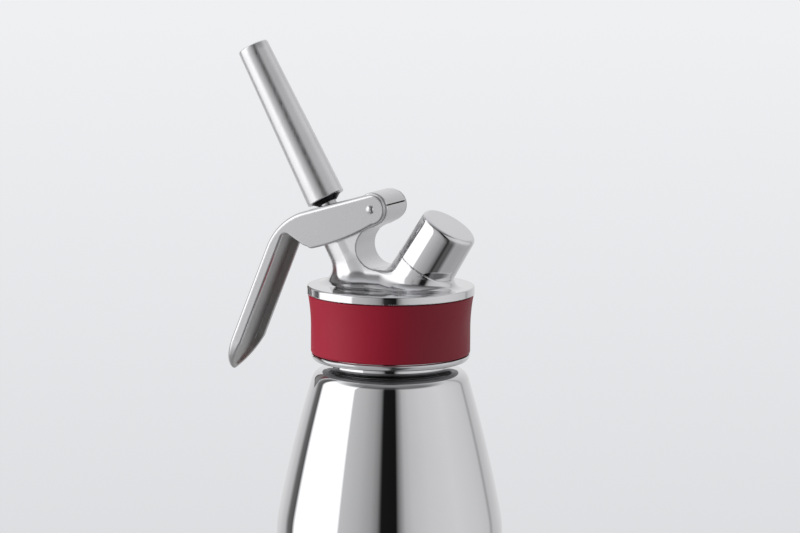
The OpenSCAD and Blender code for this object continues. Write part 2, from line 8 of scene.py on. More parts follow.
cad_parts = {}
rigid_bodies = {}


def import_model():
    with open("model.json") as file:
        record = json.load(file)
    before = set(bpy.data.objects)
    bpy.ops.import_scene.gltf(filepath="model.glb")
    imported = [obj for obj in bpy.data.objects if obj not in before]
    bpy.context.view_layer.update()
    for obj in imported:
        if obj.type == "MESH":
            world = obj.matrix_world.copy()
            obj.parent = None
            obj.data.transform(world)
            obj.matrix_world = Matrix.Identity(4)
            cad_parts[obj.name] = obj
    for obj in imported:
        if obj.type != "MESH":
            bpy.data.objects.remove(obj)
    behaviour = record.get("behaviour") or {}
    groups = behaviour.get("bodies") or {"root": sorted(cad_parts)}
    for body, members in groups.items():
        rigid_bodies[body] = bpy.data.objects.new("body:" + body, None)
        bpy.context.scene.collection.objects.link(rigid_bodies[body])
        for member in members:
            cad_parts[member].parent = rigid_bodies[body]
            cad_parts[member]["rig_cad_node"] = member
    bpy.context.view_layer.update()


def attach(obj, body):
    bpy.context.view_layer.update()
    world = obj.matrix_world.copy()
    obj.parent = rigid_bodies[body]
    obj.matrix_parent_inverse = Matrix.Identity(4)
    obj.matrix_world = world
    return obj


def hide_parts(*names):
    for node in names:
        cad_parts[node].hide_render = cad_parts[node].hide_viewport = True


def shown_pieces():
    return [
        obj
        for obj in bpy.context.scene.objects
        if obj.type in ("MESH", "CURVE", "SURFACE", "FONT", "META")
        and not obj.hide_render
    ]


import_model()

# Whipped cream dispenser. Sizes are in millimetres and angles in degrees unless a comment says
# otherwise. The front is -Y; the valve and lever lean towards -X and the charger's cap towards +X.
MM = 0.001
RIM_Z = 190.0
VALVE_X, CHARGER_X = -11.3, 10.5
VALVE_TILT, CHARGER_TILT, SLOPE = (math.radians(a) for a in (29, 32, 16.7))
PIVOT_H, LEVER_ARM = 25.1, 21.8
VALVE_AXIS = np.array([-math.sin(VALVE_TILT), 0, math.cos(VALVE_TILT)])
VALVE_SIDE = np.array([math.cos(VALVE_TILT), 0, math.sin(VALVE_TILT)])
CHARGER_AXIS = np.array([math.sin(CHARGER_TILT), 0, math.cos(CHARGER_TILT)])
CHARGER_SIDE = np.array([math.cos(CHARGER_TILT), 0, -math.sin(CHARGER_TILT)])
VALVE_FOOT = np.array([VALVE_X, 0, RIM_Z])
CHARGER_FOOT = np.array([CHARGER_X, 0, RIM_Z])
PIVOT = VALVE_FOOT + PIVOT_H * VALVE_AXIS + LEVER_ARM * VALVE_SIDE


# ---- Materials ----

class Nodes:
    """A short way to build a material's node tree."""

    def __init__(self, name):
        self.mat = bpy.data.materials.new(name)
        self.mat.use_nodes = True
        self.tree = self.mat.node_tree
        self.tree.nodes.clear()
        self.out = self.add("ShaderNodeOutputMaterial")
        self.bsdf = self.add("ShaderNodeBsdfPrincipled")
        self.link(self.bsdf, "BSDF", self.out, "Surface")
        self.coord = self.add("ShaderNodeTexCoord")

    def add(self, kind, **values):
        n = self.tree.nodes.new(kind)
        for k, v in values.items():
            setattr(n, k, v)
        return n

    def link(self, a, out, b, into):
        self.tree.links.new(a.outputs[out], b.inputs[into])

    def mapping(self, scale=(1, 1, 1), turn=(0, 0, 0)):
        m = self.add("ShaderNodeMapping")
        m.inputs["Rotation"].default_value = turn
        m.inputs["Scale"].default_value = scale
        self.link(self.coord, "Object", m, "Vector")
        return m

    def noise(self, scale, detail=3, vector=None, rough=0.5):
        n = self.add("ShaderNodeTexNoise")
        n.inputs["Scale"].default_value = scale
        n.inputs["Detail"].default_value = detail
        n.inputs["Roughness"].default_value = rough
        if vector:
            self.link(vector, "Vector", n, "Vector")
        else:
            self.link(self.coord, "Object", n, "Vector")
        return n

    def ranged(self, source, out, low, high, at=(0.3, 0.7)):
        m = self.add("ShaderNodeMapRange")
        m.inputs["From Min"].default_value = at[0]
        m.inputs["From Max"].default_value = at[1]
        m.inputs["To Min"].default_value = low
        m.inputs["To Max"].default_value = high
        self.link(source, out, m, "Value")
        return m

    def mixed(self, factor, out, a, b):
        m = self.add("ShaderNodeMix", data_type="RGBA")
        m.inputs[6].default_value = (*a, 1)
        m.inputs[7].default_value = (*b, 1)
        self.link(factor, out, m, 0)
        return m

    def bump(self, source, out, strength, distance):
        b = self.add("ShaderNodeBump")
        b.inputs["Strength"].default_value = strength
        b.inputs["Distance"].default_value = distance
        self.link(source, out, b, "Height")
        self.link(b, "Normal", self.bsdf, "Normal")
        return b

    def set(self, **values):
        for k, v in values.items():
            self.bsdf.inputs[k.replace("_", " ")].default_value = v


def polished(name, low=0.012, high=0.05, tint=(0.80, 0.80, 0.81)):
    """Mirror-polished steel: faint smudges, a few hairline wipes and a very slight waviness."""
    n = Nodes(name)
    n.set(Metallic=1.0)
    smudge = n.noise(38, 4)
    hair = n.noise(60, 2, n.mapping((4, 4, 90)))
    both = n.add("ShaderNodeMath", operation="MULTIPLY")
    n.link(smudge, "Fac", both, 0)
    n.link(hair, "Fac", both, 1)
    rough = n.ranged(both, "Value", low, high, (0.15, 0.42))
    n.link(rough, "Result", n.bsdf, "Roughness")
    tone = n.mixed(smudge, "Fac", tuple(c * 0.97 for c in tint), tuple(min(1, c * 1.03) for c in tint))
    n.link(tone, 2, n.bsdf, "Base Color")
    wave = n.noise(14, 1)
    n.bump(wave, "Fac", 0.02, 0.0002)
    return n.mat


def polished_to_satin(name):
    """The head: mirror-polished rim, softer saddle and charger boss, and a satin post, arm and lug."""
    steel, dulled = (0.80, 0.80, 0.81), (0.76, 0.76, 0.7695)
    satin_z, satin_x, saddle_z = (3.5, 11.0), (3.0, 7.5), (0.0, 1.0)
    over_rim = [[(RIM_Z + h) * MM for h in span] for span in (satin_z, saddle_z)]
    n = Nodes(name)
    n.set(Metallic=1.0)
    part = n.add("ShaderNodeSeparateXYZ")
    n.link(n.coord, "Object", part, "Vector")
    up = n.ranged(part, "Z", 0.0, 1.0, over_rim[0])
    left = n.ranged(part, "X", 1.0, 0.0, [x * MM for x in satin_x])
    mask = n.add("ShaderNodeMath", operation="MULTIPLY")
    n.link(up, "Result", mask, 0)
    n.link(left, "Result", mask, 1)
    smudge = n.noise(38, 4)
    fine = n.noise(1500, 3, rough=0.6)
    crisp = n.ranged(smudge, "Fac", 0.03, 0.06)
    soft = n.ranged(part, "Z", 0.0, 0.075, over_rim[1])
    mirror = n.add("ShaderNodeMath", operation="ADD")
    n.link(crisp, "Result", mirror, 0)
    n.link(soft, "Result", mirror, 1)
    dull = n.ranged(smudge, "Fac", 0.24, 0.31)
    rough = n.add("ShaderNodeMix", data_type="FLOAT")
    n.link(mask, "Value", rough, 0)
    n.link(mirror, "Value", rough, 2)
    n.link(dull, "Result", rough, 3)
    n.link(rough, 0, n.bsdf, "Roughness")
    n.link(n.mixed(fine, "Fac", dulled, steel), 2, n.bsdf, "Base Color")
    n.bump(n.noise(14, 1), "Fac", 0.02, 0.0002)
    return n.mat


def satin(name, low, high, tint, grain=1500, strength=0.05):
    """Tumbled or blasted steel: fine even grain with a broad, soft variation."""
    n = Nodes(name)
    n.set(Metallic=1.0)
    broad = n.noise(70, 3)
    fine = n.noise(grain, 4, rough=0.6)
    rough = n.ranged(broad, "Fac", low, high)
    n.link(rough, "Result", n.bsdf, "Roughness")
    tone = n.mixed(fine, "Fac", tuple(c * 0.95 for c in tint), tuple(min(1, c * 1.04) for c in tint))
    n.link(tone, 2, n.bsdf, "Base Color")
    n.bump(fine, "Fac", strength, 0.00004)
    return n.mat


def brushed(name, tint, turn=(0, 0, 0), stretch=(1200, 1200, 14), low=0.20, high=0.36):
    """Steel brushed along one direction: long fine scratches in roughness, tone and bump."""
    n = Nodes(name)
    n.set(Metallic=1.0)
    lines = n.noise(1, 3, n.mapping(stretch, turn), 0.65)
    broad = n.noise(45, 2)
    rough = n.ranged(lines, "Fac", low, high)
    n.link(rough, "Result", n.bsdf, "Roughness")
    tone = n.mixed(lines, "Fac", tuple(c * 0.93 for c in tint), tuple(min(1, c * 1.05) for c in tint))
    shade = n.add("ShaderNodeMix", data_type="RGBA", blend_type="MULTIPLY")
    shade.inputs[0].default_value = 0.35
    n.link(tone, 2, shade, 6)
    n.link(n.ranged(broad, "Fac", 0.82, 1.0), "Result", shade, 7)
    n.link(shade, 2, n.bsdf, "Base Color")
    n.bump(lines, "Fac", 0.05, 0.00004)
    return n.mat


def rubber(name, dark, light, low=0.45, high=0.62, grain=1400, strength=0.25, sheen=0.0, grain_depth=0.00008):
    """Silicone or rubber: matte, with fine moulded grain."""
    n = Nodes(name)
    broad = n.noise(55, 4)
    fine = n.noise(grain, 3, rough=0.7)
    rough = n.ranged(broad, "Fac", low, high)
    n.link(rough, "Result", n.bsdf, "Roughness")
    tone = n.mixed(broad, "Fac", dark, light)
    n.link(tone, 2, n.bsdf, "Base Color")
    n.set(Sheen_Weight=sheen, Sheen_Roughness=0.5, IOR=1.43)
    n.bump(fine, "Fac", strength, grain_depth)
    return n.mat


MATS = {
    "polished_steel": polished("steel_polished"),
    "satin_steel": satin("steel_satin", 0.22, 0.30, (0.61, 0.61, 0.62)),
    "brushed_steel": brushed("steel_brushed", (0.88, 0.88, 0.89), (0, VALVE_TILT, 0), low=0.27, high=0.37),
    "red_silicone": rubber("silicone_red", (0.235, 0.0004, 0.014), (0.275, 0.0010, 0.019), 0.50, 0.60,
                           sheen=0.03),
    "seal_silicone": rubber("silicone_seal", (0.42, 0.03, 0.05), (0.50, 0.05, 0.07)),
    "black_plastic": rubber("plastic_black", (0.008, 0.008, 0.009), (0.016, 0.016, 0.018), 0.30, 0.45),
    "dark_rubber": rubber("rubber_dark", (0.018, 0.018, 0.018), (0.035, 0.034, 0.033), 0.5, 0.7),
    "pale_plastic": rubber("plastic_pale", (0.62, 0.60, 0.55), (0.72, 0.70, 0.65), 0.5, 0.7, strength=0.6),
    "brass": brushed("brass_turned", (0.78, 0.58, 0.27), stretch=(14, 14, 900), low=0.22, high=0.34),
    "spring_steel": brushed("steel_spring", (0.56, 0.56, 0.57), stretch=(600, 600, 600)),
}
HEAD_MAT = polished_to_satin("steel_head")
# The channel's rougher finish is real; its darker tint is painted shade inside the lever's hollow
CHANNEL_SHADED_MAT = satin("steel_channel_shaded", 0.30, 0.42, (0.54, 0.54, 0.53))
SKIN_MAT = satin("steel_skin", 0.09, 0.15, (0.78, 0.78, 0.79), strength=0.02)
# Turned steel: its rougher finish is real, its dark tint is painted shade for threads, bores and faces that
# look down
TURNED_SHADED_MAT = satin("steel_turned_shaded", 0.32, 0.46, (0.27, 0.27, 0.275))
SLOTS = {
    "bottle_shell": "polished_steel", "neck_ring": "polished_steel", "head_gasket": "seal_silicone",
    "head_casting": "polished_steel", "grip_band": "red_silicone", "charger_stud": "satin_steel",
    "gas_filter": "pale_plastic", "piercing_pin": "satin_steel", "piercer_seal": "dark_rubber",
    "check_flap": "dark_rubber", "check_cage": "satin_steel", "valve_gland": "brass",
    "stem_o_ring": "dark_rubber", "valve_spring": "spring_steel", "valve_stem": "satin_steel",
    "press_collar": "satin_steel", "valve_disc": "dark_rubber", "disc_screw": "satin_steel",
    "lever": "satin_steel", "pivot_pin": "polished_steel", "nozzle_seal": "black_plastic",
    "nozzle": "brushed_steel", "cap_liner": "dark_rubber", "cap": "polished_steel",
}


# ---- Meshes ----

def mark_edges(mesh, angle):
    """Smooth faces, with the edges sharper than angle kept sharp."""
    n = len(mesh.polygons)
    mesh.polygons.foreach_set("use_smooth", np.ones(n, bool))
    normals = np.empty(n * 3, np.float32)
    mesh.polygons.foreach_get("normal", normals)
    normals = normals.reshape(-1, 3)
    loops = len(mesh.loops)
    edge_of = np.empty(loops, np.int32)
    mesh.loops.foreach_get("edge_index", edge_of)
    totals = np.empty(n, np.int32)
    mesh.polygons.foreach_get("loop_total", totals)
    face_of = np.repeat(np.arange(n), totals)
    order = np.argsort(edge_of, kind="stable")
    e, f = edge_of[order], face_of[order]
    pair = np.nonzero(e[1:] == e[:-1])[0]
    dots = (normals[f[pair]] * normals[f[pair + 1]]).sum(1)
    sharp = np.zeros(len(mesh.edges), bool)
    sharp[e[pair]] = dots < math.cos(angle)
    mesh.edges.foreach_set("use_edge_sharp", sharp)
    mesh.update()


def true_normals(obj, f, step=0.01):
    """Shade a field's mesh by the field's own slope, which keeps its mirror finish clean."""
    mesh = obj.data
    mesh.update()
    corner = np.empty(len(mesh.loops), np.int32)
    mesh.loops.foreach_get("vertex_index", corner)
    totals = np.empty(len(mesh.polygons), np.int32)
    mesh.polygons.foreach_get("loop_total", totals)
    face = np.repeat(np.arange(len(totals)), totals)

    def vectors(items, field):
        out = np.empty(len(items) * 3, np.float32)
        items.foreach_get(field, out)
        return out.reshape(-1, 3).astype(float)

    def slope(at):
        g = np.stack([f(*(at + step * axis).T) - f(*(at - step * axis).T) for axis in np.eye(3)], 1)
        return g / np.maximum(np.linalg.norm(g, axis=1, keepdims=True), 1e-9)

    points = vectors(mesh.vertices, "co") / MM
    flat = vectors(mesh.polygons, "normal")[face]
    middle = vectors(mesh.polygons, "center")[face] / MM
    normal = slope(points)[corner]
    beside = slope(0.75 * points[corner] + 0.25 * middle)
    crease = (normal * beside).sum(1) < math.cos(math.radians(14))
    normal[crease] = beside[crease]
    odd = (normal * flat).sum(1) < math.cos(math.radians(35))
    normal[odd] = flat[odd]
    mesh.normals_split_custom_set(normal.tolist())


def piece(name, points, faces, slot, body, nodes=(), angle=32, mat=None):
    """A mesh from points in millimetres, riding on a body."""
    mesh = bpy.data.meshes.new(name)
    pts = (np.asarray(points, float) * MM).tolist()
    mesh.from_pydata(pts, [], [list(map(int, f)) for f in faces])
    mesh.validate()
    mesh.update()
    mark_edges(mesh, math.radians(angle))
    mesh.materials.append(mat or MATS[slot])
    obj = bpy.data.objects.new(name, mesh)
    bpy.context.scene.collection.objects.link(obj)
    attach(obj, body)
    if nodes:
        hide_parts(*nodes)
    return obj


def arc(cx, cy, r, a0, a1, n):
    """Points of an arc; angles in degrees."""
    a = np.radians(np.linspace(a0, a1, n))
    return [(cx + r * math.cos(t), cy + r * math.sin(t)) for t in a]


def subdivided(profile, longest):
    """The profile with its long runs split, so that reflections stay even."""
    out = [profile[0]]
    for p, q in zip(profile, profile[1:]):
        n = max(1, int(math.ceil(math.dist(p, q) / longest)))
        out += [(p[0] + (q[0] - p[0]) * k / n, p[1] + (q[1] - p[1]) * k / n) for k in range(1, n + 1)]
    return out


def lathe(profile, segs, foot=(0, 0, 0), axis=(0, 0, 1), side=(1, 0, 0), closed=True):
    """Points and faces of a turned shape. profile is (radius, height) and runs with the solid on its left."""
    foot, w, u = (np.array(v, float) for v in (foot, axis, side))
    v = np.cross(w, u)
    pts, faces, rows = [], [], []
    for r, h in profile:
        if r < 1e-6:
            rows.append([len(pts)] * segs)
            pts.append(foot + h * w)
        else:
            rows.append(list(range(len(pts), len(pts) + segs)))
            a = np.arange(segs) * 2 * math.pi / segs
            pts += list(foot + h * w + r * (np.cos(a)[:, None] * u + np.sin(a)[:, None] * v))
    pairs = list(zip(rows, rows[1:])) + ([(rows[-1], rows[0])] if closed else [])
    for lo, hi in pairs:
        for k in range(segs):
            m = (k + 1) % segs
            f = [lo[k], lo[m], hi[m], hi[k]]
            f = [x for i, x in enumerate(f) if x != f[i - 1]]
            if len(f) > 2:
                faces.append(f)
    return pts, faces


def surface(f, lo, hi, cell):
    """Surface nets: the zero surface of the field f, negative inside, as points and quads."""
    # Where the surface crosses the edges of each cell, averaged to one point a cell
    axes = [np.arange(lo[i], hi[i] + cell, cell) for i in range(3)]
    x, y, z = axes
    val = f(x[:, None, None], y[None, :, None], z[None, None, :]) + np.zeros((len(x), len(y), len(z)))
    val = np.where(np.abs(val) < 1e-6, 1e-6, val).astype(np.float32)
    inside = val < 0
    total = np.zeros(tuple(s - 1 for s in val.shape) + (3,), np.float32)
    count = np.zeros(total.shape[:3], np.float32)
    for ax in range(3):
        for b in (0, 1):
            for c in (0, 1):
                cut0 = [None] * 3
                others = [i for i in range(3) if i != ax]
                cut0[ax] = slice(0, -1)
                cut0[others[0]] = slice(b, val.shape[others[0]] - 1 + b)
                cut0[others[1]] = slice(c, val.shape[others[1]] - 1 + c)
                cut1 = list(cut0)
                cut1[ax] = slice(1, None)
                v0, v1 = val[tuple(cut0)], val[tuple(cut1)]
                cross = (v0 < 0) != (v1 < 0)
                t = np.where(cross, v0 / (v0 - v1 + 1e-20), 0)
                count += cross
                total[..., ax] += np.where(cross, t, 0)
                total[..., others[0]] += cross * b
                total[..., others[1]] += cross * c
    live = count > 0
    index = np.full(live.shape, -1, np.int64)
    index[live] = np.arange(live.sum())
    base = np.argwhere(live)
    pts = np.array([a[0] for a in axes]) + cell * (base + total[live] / count[live][:, None])
    # One quad across each grid line that goes through the surface
    quads = []
    for ax in range(3):
        o = [i for i in range(3) if i != ax]
        sl0 = [slice(1, -1)] * 3
        sl0[ax] = slice(0, -1)
        sl1 = list(sl0)
        sl1[ax] = slice(1, None)
        a, b = inside[tuple(sl0)], inside[tuple(sl1)]
        for want, flip in ((a & ~b, False), (~a & b, True)):
            at = np.argwhere(want)
            shift = np.ones(3, int)
            shift[ax] = 0
            at = at + shift
            corner = []
            for db, dc in ((1, 1), (0, 1), (0, 0), (1, 0)):
                q = at.copy()
                q[:, o[0]] -= db
                q[:, o[1]] -= dc
                corner.append(index[q[:, 0], q[:, 1], q[:, 2]])
            quad = np.stack(corner, 1)
            if flip != (ax == 1):
                quad = quad[:, ::-1]
            quads.append(quad)
    quads = np.concatenate(quads)
    # Pull the points onto the surface, each within reach of its own cell
    step = cell * 0.02
    start = pts.copy()
    for _ in range(4):
        v = f(pts[:, 0], pts[:, 1], pts[:, 2])
        g = np.stack([f(*(pts + step * axis).T) - f(*(pts - step * axis).T) for axis in np.eye(3)], 1)
        g = g / (2 * step)
        move = -(v / np.maximum((g * g).sum(1), 0.2))[:, None] * g
        size = np.linalg.norm(move, axis=1, keepdims=True)
        pts = pts + move * np.minimum(1, 0.3 * cell / np.maximum(size, 1e-9))
        away = pts - start
        far = np.linalg.norm(away, axis=1, keepdims=True)
        pts = start + away * np.minimum(1, 0.75 * cell / np.maximum(far, 1e-9))
    return pts, quads


def fillet(a, b, r):
    """Union of two fields with a round fillet of radius r."""
    return np.maximum(r, np.minimum(a, b)) - np.sqrt(np.maximum(r - a, 0) ** 2 + np.maximum(r - b, 0) ** 2)


def blended(a, b, k):
    """Union of two nearly parallel fields, blended where they differ by less than k."""
    h = np.maximum(k - np.abs(a - b), 0)
    return np.minimum(a, b) - h * h / (4 * k)


def rounded(a, b, r):
    """Intersection of two fields with an edge rounded to radius r."""
    return np.minimum(-r, np.maximum(a, b)) + np.sqrt(np.maximum(r + a, 0) ** 2 + np.maximum(r + b, 0) ** 2)


def polygon_field(corners, x, z):
    """Signed distance to a closed outline in the plane, negative inside."""
    best, inside = None, None
    for (x0, z0), (x1, z1) in zip(corners, corners[1:] + corners[:1]):
        ex, ez = x1 - x0, z1 - z0
        if ex * ex + ez * ez < 1e-12:
            continue
        wx, wz = x - x0, z - z0
        t = np.clip((wx * ex + wz * ez) / (ex * ex + ez * ez), 0, 1)
        d = (wx - ex * t) ** 2 + (wz - ez * t) ** 2
        best = d if best is None else np.minimum(best, d)
        hit = (z0 <= z) != (z1 <= z)
        if z1 != z0:
            cross = hit & (wx < ex * wz / ez)
            inside = cross if inside is None else inside ^ cross
    return np.where(inside, -1, 1) * np.sqrt(best)


# Bottle

BODY_R, BEND_Z, BEND_R, FLANK_R = 47.5, 84.0, 60.0, 600.0
SHOULDER_Z, SHOULDER_R, NECK_R, MOUTH_R = 155.0, 6.3, 24.75, 22.5
FOOT_ROUND, RECESS_R, RECESS_H, RECESS_EDGE = 12.0, 34.5, 3.0, 0.4
WALL, SHOULDER_OUT = 1.2, 2.1


def centre_between(c1, r1, c2, r2, r):
    """Centre of an arc of radius r that touches two smaller arcs from outside, on their left."""
    c1, c2 = np.array(c1, float), np.array(c2, float)
    d = np.linalg.norm(c2 - c1)
    u = (c2 - c1) / d
    along = ((r - r1) ** 2 - (r - r2) ** 2 + d * d) / (2 * d)
    aside = math.sqrt((r - r1) ** 2 - along ** 2)
    return c1 + along * u + aside * np.array([-u[1], u[0]])


def side_of_bottle(inset):
    """(radius, height) up the bottle's side, from the end of the foot's round to the shoulder's top."""
    bend = (BODY_R - BEND_R, BEND_Z)
    top = (NECK_R + SHOULDER_OUT, SHOULDER_Z - SHOULDER_R)
    c = centre_between(bend, BEND_R, top, SHOULDER_R, FLANK_R)
    a1 = math.degrees(math.atan2(bend[1] - c[1], bend[0] - c[0]))
    a2 = math.degrees(math.atan2(top[1] - c[1], top[0] - c[0]))
    out = [(BODY_R - inset, z) for z in np.linspace(FOOT_ROUND, BEND_Z, 25)]
    out += arc(bend[0], bend[1], BEND_R - inset, 0, a1, 16)[1:]
    out += arc(c[0], c[1], FLANK_R - inset, a1, a2, 42)[1:]
    out += arc(top[0], top[1], SHOULDER_R - inset, a2, 90, 20)[1:]
    return out


foot_r = BODY_R - FOOT_ROUND
outer = [(0, RECESS_H), (RECESS_R - RECESS_EDGE, RECESS_H)]
outer += arc(RECESS_R - RECESS_EDGE, RECESS_H - RECESS_EDGE, RECESS_EDGE, 90, 0, 4)[1:]
outer += [(RECESS_R, 0.25), (RECESS_R + 0.25, 0)] + arc(foot_r, FOOT_ROUND, FOOT_ROUND, -90, 0, 18)
outer += side_of_bottle(0)[1:] + [(MOUTH_R, SHOULDER_Z)]
inner = [(MOUTH_R, SHOULDER_Z - WALL)] + side_of_bottle(WALL)[::-1]
inner += arc(foot_r, FOOT_ROUND, FOOT_ROUND - WALL, 0, -78, 9)[1:]
inner += [(RECESS_R + WALL, RECESS_H + 0.2), (RECESS_R - 0.3, RECESS_H + WALL), (0, RECESS_H + WALL)]
piece("bottle_body", *lathe(subdivided(outer, 4) + subdivided(inner, 8), 224, closed=False),
      "polished_steel", "bottle", ("bottle_shell",))


# Screw threads, wound by a node group whose sizes are named inputs

def thread_group():
    """A round ridge swept along a spiral."""
    tree = bpy.data.node_groups.new("thread_ridge", "GeometryNodeTree")
    face = tree.interface
    face.new_socket("Geometry", in_out="OUTPUT", socket_type="NodeSocketGeometry")
    for name, kind in (("Radius", "NodeSocketFloat"), ("Pitch", "NodeSocketFloat"),
                       ("Turns", "NodeSocketFloat"), ("Ridge", "NodeSocketFloat"),
                       ("Material", "NodeSocketMaterial")):
        face.new_socket(name, in_out="INPUT", socket_type=kind)
    n, link = tree.nodes, tree.links
    gin, gout = n.new("NodeGroupInput"), n.new("NodeGroupOutput")
    spiral = n.new("GeometryNodeCurveSpiral")
    spiral.inputs["Resolution"].default_value = 72
    for end in ("Start Radius", "End Radius"):
        link.new(gin.outputs["Radius"], spiral.inputs[end])
    link.new(gin.outputs["Turns"], spiral.inputs["Rotations"])
    rise = n.new("ShaderNodeMath")
    rise.operation = "MULTIPLY"
    link.new(gin.outputs["Pitch"], rise.inputs[0])
    link.new(gin.outputs["Turns"], rise.inputs[1])
    link.new(rise.outputs[0], spiral.inputs["Height"])
    ring = n.new("GeometryNodeCurvePrimitiveCircle")
    ring.inputs["Resolution"].default_value = 8
    link.new(gin.outputs["Ridge"], ring.inputs["Radius"])
    sweep = n.new("GeometryNodeCurveToMesh")
    sweep.inputs["Fill Caps"].default_value = True
    link.new(spiral.outputs["Curve"], sweep.inputs["Curve"])
    link.new(ring.outputs["Curve"], sweep.inputs["Profile Curve"])
    real = n.new("GeometryNodeRealizeInstances")
    dress = n.new("GeometryNodeSetMaterial")
    link.new(sweep.outputs["Mesh"], real.inputs["Geometry"])
    link.new(real.outputs["Geometry"], dress.inputs["Geometry"])
    link.new(gin.outputs["Material"], dress.inputs["Material"])
    link.new(dress.outputs["Geometry"], gout.inputs["Geometry"])
    return tree


THREADS = thread_group()


def thread(name, slot, body, radius, pitch, turns, ridge, foot, axis=(0, 0, 1), side=(1, 0, 0)):
    """A thread ridge round an axis, from foot upwards."""
    holder = bpy.data.objects.new(name + "_maker", bpy.data.meshes.new(name + "_maker"))
    bpy.context.scene.collection.objects.link(holder)
    mod = holder.modifiers.new("thread", "NODES")
    mod.node_group = THREADS
    values = {"Radius": radius * MM, "Pitch": pitch * MM, "Turns": turns, "Ridge": ridge * MM,
              "Material": MATS[slot]}
    for item in THREADS.interface.items_tree:
        if item.item_type == "SOCKET" and item.in_out == "INPUT":
            mod[item.identifier] = values[item.name]
    bpy.context.view_layer.update()
    made = bpy.data.meshes.new_from_object(holder.evaluated_get(bpy.context.evaluated_depsgraph_get()))
    bpy.data.objects.remove(holder)
    w, u = Vector(axis), Vector(side)
    v = w.cross(u)
    place = Matrix([[u[i], v[i], w[i], foot[i] * MM] for i in range(3)] + [[0, 0, 0, 1]])
    made.transform(place)
    made.name = name
    mark_edges(made, math.radians(60))
    obj = bpy.data.objects.new(name, made)
    bpy.context.scene.collection.objects.link(obj)
    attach(obj, body)
    return obj


HEAD_PITCH, STUD_PITCH, STEM_PITCH, GLAND_PITCH = 4.0, 1.5, 1.25, 1.0
NECK_THREAD_Z, SKIRT_THREAD_Z = 160.5, 158.9
STUD_THREAD_H, STEM_THREAD_H, GLAND_THREAD_H = 13, 41, 1.6

neck_thread = thread("neck_thread", "polished_steel", "bottle", radius=24.7, pitch=HEAD_PITCH, turns=4.5,
                     ridge=0.9, foot=(0, 0, NECK_THREAD_Z))
skirt_thread = thread("skirt_thread", "satin_steel", "head", radius=26.9, pitch=HEAD_PITCH, turns=4.4,
                      ridge=0.9, foot=(0, 0, SKIRT_THREAD_Z))
# The threads get the turned finish with its painted shade
for screwed in (neck_thread, skirt_thread):
    screwed.data.materials[0] = TURNED_SHADED_MAT
thread("stud_thread", "satin_steel", "head", radius=9.6, pitch=STUD_PITCH, turns=9, ridge=0.32,
       foot=CHARGER_FOOT + STUD_THREAD_H * CHARGER_AXIS, axis=CHARGER_AXIS, side=CHARGER_SIDE)
thread("stem_thread", "satin_steel", "stem", radius=3.37, pitch=STEM_PITCH, turns=5.5, ridge=0.17,
       foot=VALVE_FOOT + STEM_THREAD_H * VALVE_AXIS, axis=VALVE_AXIS, side=VALVE_SIDE)
thread("gland_thread", "brass", "head", radius=5.05, pitch=GLAND_PITCH, turns=3.5, ridge=0.12,
       foot=VALVE_FOOT + GLAND_THREAD_H * VALVE_AXIS, axis=VALVE_AXIS, side=VALVE_SIDE)


# Neck and grip band

NECK_TOP, NECK_EDGE, NECK_FOOT_R, TURNED_SHADED_FROM = 181.0, 0.6, 2.0, 159.0
BAND_Z, BAND_TOP, BAND_R, BAND_BORE, BAND_ROUND = 161.4, 186.2, 33.3, 31.05, 1.2
BAND_FLARE, FLARE_H, FLARE_END, BAND_EDGE = 1.3, 14.0, 0.5, 0.4


def turn_and_shade(obj, where):
    """Give the faces that where picks, by centre in millimetres and by normal, an unpolished finish whose
    dark tone is painted shade.
    """
    faces = obj.data.polygons
    at, normal = np.empty(len(faces) * 3, np.float32), np.empty(len(faces) * 3, np.float32)
    faces.foreach_get("center", at)
    faces.foreach_get("normal", normal)
    obj.data.materials.append(TURNED_SHADED_MAT)
    picked = where(at.reshape(-1, 3) / MM, normal.reshape(-1, 3))
    faces.foreach_set("material_index", picked.astype(np.int32))


neck = [(MOUTH_R, SHOULDER_Z), (NECK_R + NECK_FOOT_R, SHOULDER_Z)]
neck += arc(NECK_R + NECK_FOOT_R, SHOULDER_Z + NECK_FOOT_R, NECK_FOOT_R, 270, 180, 10)[1:]
neck += [(NECK_R, NECK_TOP - NECK_EDGE), (NECK_R - NECK_EDGE, NECK_TOP),
         (MOUTH_R + NECK_EDGE, NECK_TOP), (MOUTH_R, NECK_TOP - NECK_EDGE)]
neck_body = piece("neck_body", *lathe(subdivided(neck, 3), 160), "polished_steel", "bottle", ("neck_ring",))
# Painted shade: the neck above the groove gets the dark turned finish
turn_and_shade(neck_body, lambda at, normal: at[:, 2] > TURNED_SHADED_FROM)

flare_r = (FLARE_H ** 2 + BAND_FLARE ** 2) / (2 * BAND_FLARE)
flare_z = BAND_TOP - FLARE_H
lean = math.degrees(math.asin((FLARE_H - FLARE_END) / flare_r))
band = [(BAND_BORE, BAND_Z + BAND_EDGE), (BAND_BORE + BAND_EDGE, BAND_Z)]
band += arc(BAND_R - BAND_ROUND, BAND_Z + BAND_ROUND, BAND_ROUND, -90, 0, 10)
band += [(BAND_R, z) for z in np.linspace(BAND_Z + 1.5 * BAND_ROUND, flare_z, 12)]
band += arc(BAND_R + flare_r, flare_z, flare_r, 180, 180 - lean, 20)[1:]
band += [(BAND_R + 1.12, BAND_TOP - 0.14), (BAND_R + 0.85, BAND_TOP),
         (BAND_BORE + BAND_EDGE, BAND_TOP), (BAND_BORE, BAND_TOP - BAND_EDGE)]
piece("band_body", *lathe(subdivided(band, 1.6), 224), "red_silicone", "head", ("grip_band",))


# Head: skirt and lip turned, the top as one blended field

